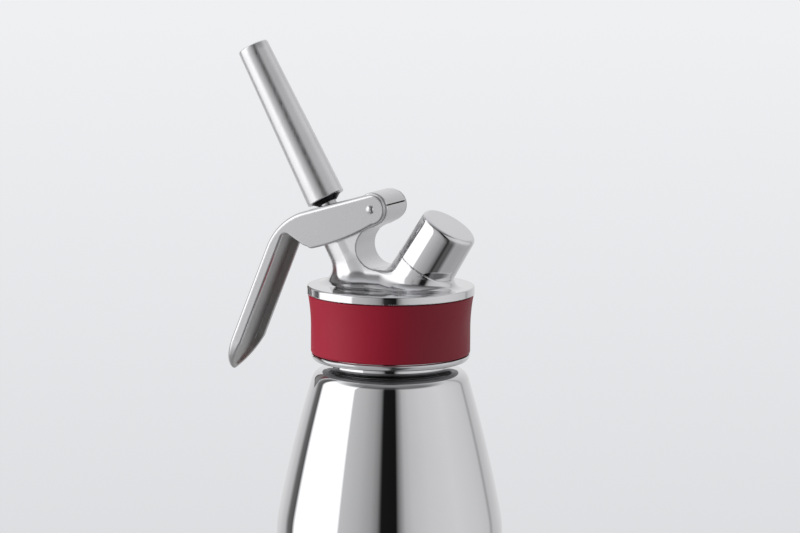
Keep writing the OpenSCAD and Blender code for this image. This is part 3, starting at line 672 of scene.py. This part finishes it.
LIP_Z, LIP_TOP, LIP_R, LIP_ROUND, LIP_EDGE, LIP_FLAT_R = 158.6, 161.1, 33.2, 2.2, 0.35, 29.6
SKIRT_R, SKIRT_BORE, SKIRT_TOP = 31.0, 26.85, 187.2
RIM_R, RIM_EDGE, RIM_UNDER = 35.0, 0.8, 186.5
POST_R, POST_SPREAD, POST_H, POST_SUNK, POST_BORE, SEAT_T = 9.25, 0.35, 23.0, 8.0, 5.2, 5.6
LUG_R, ARM_HALF = 6.9, 9.2
GAP_C, GAP_R = (VALVE_X + 8.15, RIM_Z + 16), 8.6
CAP_R, CAP_TAPER, BOSS_H = 12.6, math.tan(math.radians(1.3)), 11.0
SADDLE_R, BOSS_FILLET, BOSS_FOOT_R = 10.0, 3.2, 6.0
# How far post and arm blend, by height up the post: widely low down, hardly under the lever's cheeks
BLEND_AT, BLEND = (11, 15, 18, 21), (1.62, 0.72, 0.72, 0.02)

skirt = [(SKIRT_BORE, LIP_Z + 0.5), (SKIRT_BORE + 0.5, LIP_Z), (LIP_FLAT_R, LIP_Z)]
skirt += arc(LIP_R - LIP_ROUND, LIP_Z + LIP_ROUND, LIP_ROUND, -68, 0, 14)
skirt += [(LIP_R, LIP_TOP - LIP_EDGE), (LIP_R - LIP_EDGE, LIP_TOP), (SKIRT_R, LIP_TOP),
          (SKIRT_R, SKIRT_TOP), (SKIRT_BORE, SKIRT_TOP)]
head_skirt = piece("head_skirt", *lathe(subdivided(skirt, 3), 192), "polished_steel", "head")
# Painted shade: the skirt's bore and its down-facing faces get the dark turned finish
turn_and_shade(head_skirt, lambda at, normal: (np.hypot(at[:, 0], at[:, 1]) < SKIRT_BORE + 0.35)
             | (normal[:, 2] < -0.75))


def valve_xz(t, q):
    """The place (x, z) at height t along the valve's axis and q aside."""
    p = VALVE_FOOT + t * VALVE_AXIS + q * VALVE_SIDE
    return (p[0], p[2])


def polar(c, r, deg):
    """The place (x, z) on a circle round c, deg degrees up from +X."""
    return (c[0] + r * math.cos(math.radians(deg)), c[1] + r * math.sin(math.radians(deg)))


LUG_C = (PIVOT[0], PIVOT[2])
ARM = [polar(LUG_C, LUG_R, -65), polar(GAP_C, GAP_R, 135), GAP_C, (GAP_C[0], GAP_C[1] - GAP_R),
       (CHARGER_X + 4, RIM_Z + 3.6), (CHARGER_X + 4, RIM_Z - 2), valve_xz(-2.3, 0),
       valve_xz(POST_H - 3, 0), valve_xz(POST_H, POST_R),
       valve_xz(PIVOT_H + 3.4, LEVER_ARM - 5.4), LUG_C]


def along(x, y, z, foot, axis, side):
    """Height along a leaning axis from foot, and distance from it."""
    dx, dz = x - foot[0], z - foot[2]
    t = dx * axis[0] + dz * axis[2]
    q = dx * side[0] + dz * side[2]
    return t, np.sqrt(q * q + y * y)


def head_field(x, y, z):
    """The head's top: rim plate, valve post, arm with its gap and lug, charger boss and post bore."""
    r = np.sqrt(x * x + y * y)
    plate = rounded(r - RIM_R, z - RIM_Z, RIM_EDGE)
    plate = np.maximum(plate, RIM_UNDER - z)
    t, vr = along(x, y, z, VALVE_FOOT, VALVE_AXIS, VALVE_SIDE)
    spread = POST_SPREAD * np.clip((POST_H - t) / (POST_H + POST_SUNK), 0, 1)
    post = rounded(vr - POST_R - spread, t - POST_H, 0.6)
    lug = np.sqrt((x - LUG_C[0]) ** 2 + (z - LUG_C[1]) ** 2) - LUG_R
    outline = np.minimum(polygon_field(ARM, x, z), lug)
    arm = rounded(outline, np.abs(y) - ARM_HALF, 0.7)
    top = np.minimum(fillet(post, arm, 0.8), blended(post, arm, np.interp(t, BLEND_AT, BLEND)))
    s, cr = along(x, y, z, CHARGER_FOOT, CHARGER_AXIS, CHARGER_SIDE)
    boss = rounded(cr - CAP_R - CAP_TAPER * (BOSS_H - s), s - BOSS_H, 0.35)
    low = fillet(top, plate, SADDLE_R)
    gap = GAP_R - np.sqrt((x - GAP_C[0]) ** 2 + (z - GAP_C[1]) ** 2)
    low = rounded(low, gap, 0.5)
    whole = np.minimum(fillet(low, boss, BOSS_FILLET), fillet(plate, boss, BOSS_FOOT_R))
    whole = np.maximum(whole, r - RIM_R)
    whole = np.maximum(whole, RIM_UNDER - z)
    bore = np.maximum(vr - POST_BORE, SEAT_T - t)
    return np.maximum(whole, -bore)


HEAD_LO, HEAD_HI, HEAD_CELL = (-36.0, -36.0, 185.6), (36.0, 36.0, 231.2), 0.45
points, quads = surface(head_field, HEAD_LO, HEAD_HI, HEAD_CELL)
head_top = piece("head_top", points, quads, "polished_steel", "head", ("head_casting",), angle=40,
                 mat=HEAD_MAT)


def carve(obj, centre, along_dir, sizes, angle):
    """Cuts a box out of a piece; the box runs along along_dir in the XZ plane."""
    u = np.array(along_dir)
    w = np.array([-u[2], 0, u[0]])
    half = [side * size / 2 for side, size in zip((u, np.array([0, 1, 0]), w), sizes)]
    box = [centre + sx * half[0] + sy * half[1] + sz * half[2]
           for sx in (-1, 1) for sy in (-1, 1) for sz in (-1, 1)]
    mesh = bpy.data.meshes.new("cutter")
    mesh.from_pydata([tuple(p * MM) for p in box], [],
                     [(0, 1, 3, 2), (4, 6, 7, 5), (0, 4, 5, 1), (2, 3, 7, 6), (0, 2, 6, 4), (1, 5, 7, 3)])
    cutter = bpy.data.objects.new("cutter", mesh)
    bpy.context.scene.collection.objects.link(cutter)
    mod = obj.modifiers.new("slit", "BOOLEAN")
    mod.object, mod.operation, mod.solver = cutter, "DIFFERENCE", "EXACT"
    bpy.context.view_layer.update()
    made = bpy.data.meshes.new_from_object(obj.evaluated_get(bpy.context.evaluated_depsgraph_get()))
    obj.modifiers.clear()
    obj.data = made
    bpy.data.objects.remove(cutter)
    mark_edges(made, math.radians(angle))


# The lug's slit, in line with the lever's web
slit_dir = np.array([math.cos(SLOPE), 0, math.sin(SLOPE)])
carve(head_top, PIVOT + LUG_R * slit_dir, slit_dir, (2 * LUG_R, 20.5, 0.6), 40)
true_normals(head_top, head_field)


# Cap

CAP_TOP, CAP_EDGE, CAP_BORE, CAP_CEILING = 31.3, 1.8, 10.1, 28.8
top_r = CAP_R - (CAP_TOP - BOSS_H) * CAP_TAPER
cap = [(CAP_BORE, BOSS_H), (CAP_R - 0.35, BOSS_H), (CAP_R - 0.3 * CAP_TAPER, BOSS_H + 0.3)]
cap += [(CAP_R - (h - BOSS_H) * CAP_TAPER, h) for h in np.linspace(BOSS_H + 1, CAP_TOP - 2, 16)]
cap += arc(top_r - CAP_EDGE, CAP_TOP - CAP_EDGE, CAP_EDGE, 0, 90, 14)[1:]
cap += [(9.0, CAP_TOP), (5.0, CAP_TOP), (0, CAP_TOP)]
cap = subdivided(cap, 1.6) + [(0, CAP_CEILING), (CAP_BORE, CAP_CEILING)]
piece("cap_shell", *lathe(cap, 192, CHARGER_FOOT, CHARGER_AXIS, CHARGER_SIDE), "polished_steel",
      "cap", ("cap",))


# Nozzle

NOZZLE_T, NOZZLE_L, NOZZLE_R, TIP_R, TIP_EDGE = 39.262, 71.6, 8.2, 6.6, 0.8
OUTLET_R, OUTLET_L, THROAT_R, THREAD_BORE, THREAD_L = 5.2, 8.0, 2.2, 3.8, 9.5
slope = (NOZZLE_R - TIP_R) / NOZZLE_L
noz = [(THREAD_BORE, 0), (NOZZLE_R - 0.3, 0), (NOZZLE_R, 0.3)]
noz += [(NOZZLE_R - slope * h, h) for h in np.linspace(1, NOZZLE_L - TIP_EDGE, 26)]
noz += arc(TIP_R - TIP_EDGE, NOZZLE_L - TIP_EDGE, TIP_EDGE, 0, 90, 8)[1:]
noz += [(OUTLET_R + 0.3, NOZZLE_L), (OUTLET_R, NOZZLE_L - 0.3), (OUTLET_R, NOZZLE_L - OUTLET_L),
        (THROAT_R, THREAD_L), (THREAD_BORE, THREAD_L)]
piece("nozzle_body", *lathe(subdivided(noz, 3), 144, VALVE_FOOT + NOZZLE_T * VALVE_AXIS, VALVE_AXIS,
                            VALVE_SIDE), "brushed_steel", "nozzle", ("nozzle",))


# Lever, as one blended field round the pivot

WEB_N = np.array([-math.sin(SLOPE), math.cos(SLOPE)])
WEB_D = np.array([-math.cos(SLOPE), -math.sin(SLOPE)])
END_R, WEB_L, BEND_OUT_R, BEND_TURN, DEPTH, GRIP_L = 6.45, 30.7, 27.5, math.radians(51), 5.2, 58.9
WEB_START = END_R * WEB_N
BEND_C = WEB_START + WEB_L * WEB_D - BEND_OUT_R * WEB_N
H_ANGLE = math.pi / 2 + SLOPE + BEND_TURN
H_N = np.array([math.cos(H_ANGLE), math.sin(H_ANGLE)])
H_D = np.array([-math.sin(H_ANGLE), math.cos(H_ANGLE)])
BEND_END = BEND_C + BEND_OUT_R * H_N
TIP = BEND_END + GRIP_L * H_D
# The cheeks' long lower edge is one shallow arc, which ends at a notch over the handle
EDGE_C, EDGE_R, EDGE_START, EDGE_ROUND = (-52.5, 82.3), 103.5, -48, 3.0
NOTCH_R, NOTCH_SLOPE, NOTCH_RUN = 2.3, math.radians(30), 9.6
NOTCH_TOP = BEND_END - (DEPTH + NOTCH_R) * H_N - 7 * H_D
TIP_DEPTH, TIP_RUN, ARCH_R = 2.2, 16.0, 17.0
# Half the lever's width outside and inside the channel, its sheet and the room round the lug
HALF, GAP_HALF, SHEET, LUG_ROOM = 11.45, 9.5, 1.95, 8.1
SLOT_R, SLOT_DEEP, NOSE_R, NOSE_OUT, NOSE_IN, COLLAR_TOP, NOSE_GAP = 4.5, 7.8, 2.5, 9.8, 4.55, 30.4, 0.3
FAR = 120
AXIS_XZ, SIDE_XZ = VALVE_AXIS[[0, 2]], VALVE_SIDE[[0, 2]]
WEB_TOP_H = (END_R + LEVER_ARM * math.sin(VALVE_TILT - SLOPE)) / math.cos(VALVE_TILT - SLOPE)
SLOT = WEB_TOP_H * AXIS_XZ - LEVER_ARM * SIDE_XZ
NOSE = (COLLAR_TOP - PIVOT_H + NOSE_GAP + NOSE_R) * AXIS_XZ - LEVER_ARM * SIDE_XZ


def skin_field(x, z, inset):
    """Distance outwards from the lever's outer skin line, moved in by inset."""
    web = x * WEB_N[0] + z * WEB_N[1] - END_R
    grip = (x - BEND_END[0]) * H_N[0] + (z - BEND_END[1]) * H_N[1]
    vx, vz = x - BEND_C[0], z - BEND_C[1]
    turning = (vx * WEB_D[0] + vz * WEB_D[1] > 0) & (vx * H_D[0] + vz * H_D[1] < 0)
    return np.where(turning, np.sqrt(vx * vx + vz * vz) - BEND_OUT_R, np.maximum(web, grip)) + inset


def cheek_field(x, z):
    """Distance from the cheeks' outline."""
    end = np.sqrt(x * x + z * z) - END_R
    long_edge = np.sqrt((x - EDGE_C[0]) ** 2 + (z - EDGE_C[1]) ** 2) - EDGE_R
    start = polar((0, 0), END_R, EDGE_START)
    block = [(0, 0), tuple(WEB_START), (WEB_START[0], FAR), (-FAR, FAR), (-FAR, -FAR),
             (start[0], -FAR), start]
    front = np.maximum(long_edge, polygon_field(block, x, z))
    grip = [(NOTCH_TOP[0], NOTCH_TOP[1] + 2 * NOTCH_R), (-FAR, 0), (-FAR, -FAR),
            (NOTCH_TOP[0], NOTCH_TOP[1] - FAR)]
    outline = np.minimum(np.minimum(end, front), polygon_field(grip, x, z))
    round_end = NOTCH_TOP + NOTCH_R * H_N
    taper = TIP - DEPTH * H_N - TIP_RUN * H_D
    down = np.array([math.cos(NOTCH_SLOPE), -math.sin(NOTCH_SLOPE)])
    round_start = NOTCH_TOP + NOTCH_R * np.array([math.sin(NOTCH_SLOPE), math.cos(NOTCH_SLOPE)])
    corner = round_start + NOTCH_RUN * down
    cut = [NOTCH_TOP, round_end, taper, TIP - TIP_DEPTH * H_N, TIP + FAR * H_D, (corner[0], -FAR),
           corner, round_start]
    notch = np.minimum(np.sqrt((x - NOTCH_TOP[0]) ** 2 + (z - NOTCH_TOP[1]) ** 2) - NOTCH_R,
                       polygon_field(cut, x, z))
    return rounded(outline, -notch, EDGE_ROUND)


def tip_field(x, y, z, inset):
    """Distance from the plan of the handle's pointed end."""
    u = -((x - TIP[0]) * H_D[0] + (z - TIP[1]) * H_D[1])
    arch = math.sqrt(ARCH_R ** 2 - (ARCH_R - HALF) ** 2)
    ay = np.abs(y)
    curve = np.sqrt((arch - u) ** 2 + (ay + ARCH_R - HALF) ** 2) - ARCH_R
    return np.where(u > arch, ay - HALF, curve) + inset


def lever_field(x, y, z):
    """The lever: web, cheeks and channel, its hollow, the stem's slot and the two noses."""
    x, z = x - PIVOT[0], z - PIVOT[2]
    skin = rounded(skin_field(x, z, 0.0), tip_field(x, y, z, 0.0), 1.8)
    body = rounded(skin, cheek_field(x, z), 0.85)
    hollow = np.maximum(np.maximum(skin_field(x, z, SHEET), np.abs(y) - GAP_HALF), tip_field(x, y, z, SHEET))
    out = rounded(body, -hollow, 0.4)
    h = np.sqrt(x * x + z * z)
    out = np.maximum(out, -np.maximum(h - LUG_ROOM, np.abs(y) - GAP_HALF))
    wx, wz = x - SLOT[0], z - SLOT[1]
    q = wx * -WEB_D[0] + wz * -WEB_D[1] + 0.6
    d = wx * WEB_N[0] + wz * WEB_N[1]
    slot = np.where(q > 0, np.abs(y), np.sqrt(q * q + y * y)) - SLOT_R
    slot = np.maximum(np.maximum(slot, np.abs(d) - SLOT_DEEP), q - LEVER_ARM)
    out = rounded(out, -slot, 0.3)
    nose = np.sqrt((x - NOSE[0]) ** 2 + (z - NOSE[1]) ** 2) - NOSE_R
    nose = rounded(nose, np.maximum(np.abs(y) - NOSE_OUT, NOSE_IN - np.abs(y)), 0.3)
    return np.minimum(out, nose)


def finish_lever(obj, middle):
    """A dull channel whose darker tone is painted shade, smoother outer skin and edges, and satin cheeks, by
    each face's middle.
    """
    faces = obj.data.polygons
    for finish in (CHANNEL_SHADED_MAT, SKIN_MAT):
        obj.data.materials.append(finish)
    normal = np.empty(len(faces) * 3, np.float32)
    faces.foreach_get("normal", normal)
    depth = skin_field(middle[:, 0] - PIVOT[0], middle[:, 2] - PIVOT[2], SHEET)
    # Faces inside the channel, which get the painted shade
    channel = (depth < 0.15) & (np.abs(middle[:, 1]) < GAP_HALF + 0.15)
    skin = (np.abs(normal.reshape(-1, 3)[:, 1]) < 0.985) & (depth > 0.0)
    faces.foreach_set("material_index", np.where(channel, 1, np.where(skin, 2, 0)).astype(np.int32))


LEVER_LO, LEVER_HI, LEVER_CELL = PIVOT - (73.2, 12.2, 76.0), PIVOT + (7.6, 12.2, 7.6), 0.36
points, quads = surface(lever_field, LEVER_LO, LEVER_HI, LEVER_CELL)
lever = piece("lever_body", points, quads, "satin_steel", "lever", ("lever",), angle=50)
finish_lever(lever, points[quads].mean(1))
true_normals(lever, lever_field)

PIN_R, PIN_HALF, PIN_END, DOME_H = 1.95, 11.2, 12.45, 1.0
dome = (PIN_R ** 2 + DOME_H ** 2) / (2 * DOME_H)
pin = [(0, -PIN_END)]
pin += arc(0, dome - PIN_END, dome, -90, -91 + math.degrees(math.asin(PIN_R / dome)), 9)[1:]
pin += [(PIN_R, -PIN_HALF), (PIN_R, PIN_HALF)] + [(r, -h) for r, h in pin[::-1]]
piece("pin_body", *lathe(pin, 64, PIVOT, (0, -1, 0), (1, 0, 0), closed=False), "polished_steel", "lever",
      ("pivot_pin",), angle=35)


# ---- CAD nodes that stay: their own materials ----

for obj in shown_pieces():
    node = obj.get("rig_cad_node")
    if node and not obj.hide_render:
        obj.data.materials.clear()
        obj.data.materials.append(MATS[SLOTS[node]])


# ---- Surroundings, light and camera ----

AZ, EL, ROLL = (math.radians(a) for a in (25.3, 8.2, 0.35))
BACK = Vector((math.sin(AZ) * math.cos(EL), -math.cos(AZ) * math.cos(EL), math.sin(EL)))
RIGHT = Vector((math.cos(AZ), math.sin(AZ), 0))
UP = Vector((-math.sin(AZ) * math.sin(EL), math.cos(AZ) * math.sin(EL), math.cos(EL)))

# Brightness by compass direction, where 0 is the camera's and 90 lies on its right: the walls with their
# panel and dark gap, and the ground with its dark strip
WALLS = ((-180, 0.80), (-150, 0.72), (-134, 0.56), (-127, 0.16), (-118, 0.10), (-113, 1.35), (-55.5, 1.35),
         (-53.5, 0.62), (-34, 0.51), (-20, 0.38), (-13, 0.24), (-9, 0.010), (7, 0.008), (10, 0.19),
         (17, 0.50), (25, 0.60), (45, 0.68), (75, 0.74), (104, 0.68), (122, 0.62), (127, 0.38), (132, 0.58),
         (155, 0.70), (180, 0.80))
GROUND = ((-180, 0.40), (-8, 0.40), (3, 0.05), (27, 0.05), (46, 0.40), (180, 0.40))
# Brightness of a dark line over the front, by the upward part of the direction
DARK_LINE = ((0.50, 1.0), (0.60, 1.0), (0.68, 0.35), (0.78, 0.35), (0.90, 1.0), (0.96, 1.0))


def surroundings():
    """A room painted by direction: a broad white panel on the left, a narrow dark gap at the camera, grey
    walls, and a grey ceiling that is darker in front, with a dark line under it. The ground is grey with a
    dark strip. Camera rays see a plain backdrop."""
    world = bpy.data.worlds.new("room")
    bpy.context.scene.world = world
    world.use_nodes = True
    tree = world.node_tree
    tree.nodes.clear()

    def node(kind, **values):
        n = tree.nodes.new(kind)
        for k, v in values.items():
            setattr(n, k, v)
        return n

    def feed(n, into, value):
        if isinstance(value, bpy.types.NodeSocket):
            tree.links.new(value, n.inputs[into])
        else:
            n.inputs[into].default_value = value

    def maths(operation, a, b):
        n = node("ShaderNodeMath", operation=operation)
        feed(n, 0, a)
        feed(n, 1, b)
        return n.outputs[0]

    def rising(value, low, high):
        """0 at low and 1 at high, which may be the smaller of the two."""
        n = node("ShaderNodeMapRange")
        feed(n, "Value", value)
        feed(n, "From Min", low)
        feed(n, "From Max", high)
        return n.outputs[0]

    def greys(value, stops, blue=1.0, ease="LINEAR"):
        """A grey ramp through stops of (place, brightness); blue tints it a little."""
        n = node("ShaderNodeValToRGB")
        bar = n.color_ramp
        bar.interpolation = ease
        for i, (at, v) in enumerate(stops):
            stop = bar.elements[i] if i < 2 else bar.elements.new(at)
            stop.position = at
            stop.color = (v, v, v * blue, 1)
        feed(n, "Fac", value)
        return n.outputs["Color"]

    def mixed(factor, a, b, blend="MIX"):
        n = node("ShaderNodeMix", data_type="RGBA", blend_type=blend)
        for into, value in ((0, factor), (6, a), (7, b)):
            feed(n, into, value)
        return n.outputs[2]

    def by_compass(stops):
        return [(deg / 360 + 0.5, v) for deg, v in stops]

    coord = node("ShaderNodeTexCoord")
    turn = node("ShaderNodeMapping")
    feed(turn, "Vector", coord.outputs["Generated"])
    feed(turn, "Rotation", (0, 0, -AZ))
    part = node("ShaderNodeSeparateXYZ")
    feed(part, 0, turn.outputs[0])
    x, y, z = part.outputs
    angle = maths("ARCTAN2", x, maths("MULTIPLY", y, -1.0))
    around = maths("ADD", maths("DIVIDE", angle, 2 * math.pi), 0.5)
    front = rising(y, 0.35, -0.25)
    ceiling = mixed(front, (0.70, 0.71, 0.73, 1), (0.28, 0.28, 0.29, 1))
    walls = mixed(rising(z, 0.58, 0.86), greys(around, by_compass(WALLS), 1.01), ceiling)
    lined = mixed(front, walls, greys(z, DARK_LINE, ease="B_SPLINE"), "MULTIPLY")
    room = mixed(rising(z, -0.12, -0.75), lined, greys(around, by_compass(GROUND), 1.02))
    backdrop = mixed(rising(z, -0.225, -0.075), (0.715, 0.725, 0.745, 1), (0.865, 0.870, 0.890, 1))
    seen = node("ShaderNodeMixShader")
    feed(seen, "Fac", node("ShaderNodeLightPath").outputs["Is Camera Ray"])
    for into, colour in ((1, room), (2, backdrop)):
        light = node("ShaderNodeBackground")
        feed(light, "Color", colour)
        feed(seen, into, light.outputs[0])
    feed(node("ShaderNodeOutputWorld"), "Surface", seen.outputs[0])


surroundings()


# Worktop: a pale disc that fades out at its edge; sizes in metres

FLOOR_R, FADE = 0.3, (0.08, 0.29)


def worktop():
    n = Nodes("worktop")
    n.set(Roughness=0.6)
    grain = n.noise(30, 3)
    n.link(n.mixed(grain, "Fac", (0.74, 0.75, 0.77), (0.80, 0.81, 0.83)), 2, n.bsdf, "Base Color")
    reach = n.add("ShaderNodeVectorMath", operation="LENGTH")
    n.link(n.coord, "Object", reach, 0)
    n.link(n.ranged(reach, "Value", 1.0, 0.0, FADE), "Result", n.bsdf, "Alpha")
    return n.mat


floor = bpy.data.objects.new("floor", bpy.data.meshes.new("floor"))
disc = [(FLOOR_R * math.cos(a), FLOOR_R * math.sin(a), -0.0002) for a in np.arange(96) * math.pi / 48]
floor.data.from_pydata(disc, [], [list(range(96))])
floor.data.materials.append(worktop())
floor.visible_glossy = False
bpy.context.scene.collection.objects.link(floor)


# A soft key from the left for the matt surfaces, in metres and radians; the steel sees the painted panel

KEY_FAR, KEY_TURN, KEY_H, KEY_AIM_H = 1.4, 1.25, 0.30, 0.17

key = bpy.data.lights.new("key", "AREA")
key.shape, key.size, key.size_y, key.energy = "RECTANGLE", 0.9, 1.2, 17
level_back = Vector((BACK.x, BACK.y, 0)).normalized()
place = Vector((0, 0, KEY_H)) + KEY_FAR * (math.cos(KEY_TURN) * level_back - math.sin(KEY_TURN) * RIGHT)
key_lamp = bpy.data.objects.new("key", key)
key_lamp.rotation_mode = "QUATERNION"
key_lamp.location = place
key_lamp.rotation_quaternion = (Vector((0, 0, KEY_AIM_H)) - place).to_track_quat("-Z", "Y")
key_lamp.visible_glossy = False
bpy.context.scene.collection.objects.link(key_lamp)


# The photograph's camera, 1.5 metres from a point a little above and right of the rim's centre

WIDTH_PX, FOCAL_PX, AIM_RIGHT_PX, AIM_UP_PX = 800, 3600, 9, 18.2
CAM_FAR, SENSOR = 1.5, 36.0
PIXEL = CAM_FAR / FOCAL_PX

cam = bpy.data.objects.new("camera", bpy.data.cameras.new("camera"))
cam.data.sensor_fit = "HORIZONTAL"
cam.data.sensor_width, cam.data.lens = SENSOR, SENSOR * FOCAL_PX / WIDTH_PX
cam.data.clip_start, cam.data.clip_end = 0.05, 20
aim = Vector((0, 0, RIM_Z * MM + AIM_UP_PX * PIXEL / math.cos(EL))) + AIM_RIGHT_PX * PIXEL * RIGHT
eye = aim + CAM_FAR * BACK
across = math.cos(ROLL) * RIGHT + math.sin(ROLL) * UP
upward = math.cos(ROLL) * UP - math.sin(ROLL) * RIGHT
cam.matrix_world = Matrix([[across[i], upward[i], BACK[i], eye[i]] for i in range(3)] + [[0, 0, 0, 1]])
bpy.context.scene.collection.objects.link(cam)
bpy.context.scene.camera = cam
bpy.context.scene.view_settings.view_transform = "Standard"
